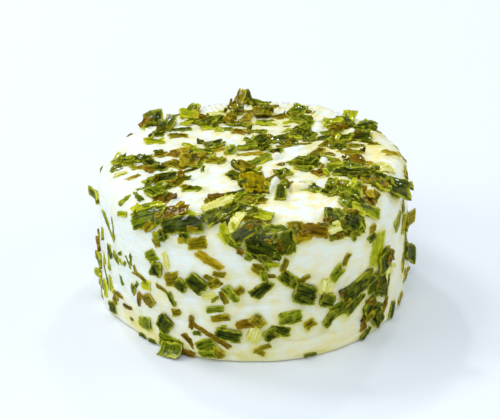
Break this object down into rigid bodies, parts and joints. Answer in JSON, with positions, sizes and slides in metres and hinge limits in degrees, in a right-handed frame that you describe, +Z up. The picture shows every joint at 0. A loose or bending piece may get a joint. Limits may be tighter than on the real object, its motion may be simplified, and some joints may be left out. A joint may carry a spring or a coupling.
{
  "type": "herbed cream cheese",
  "caption": "Short round drum of soft fresh cheese with a rounded rim, coated all over in chopped chives; stands on its flat underside.",
  "frame": {"origin": "middle of the drum's flat underside, on the table it stands on", "axes": "+Z up through the middle of the drum, -Y towards the side that the picture shows, +X to that view's right"},
  "size_m": [0.075, 0.0721, 0.0359],
  "materials": {
    "cheese": "soft moist white fresh cheese, slightly translucent, with a low sheen",
    "chive": "wet chopped chive leaves, dark to olive green, glossy, paler at the cut edges",
    "leek_white": "pale translucent yellow-white cut of the stem, moist"
  },
  "bodies": {
    "root": {"herbed_cream_cheese": "cheese"}
  },
  "joints": []
}
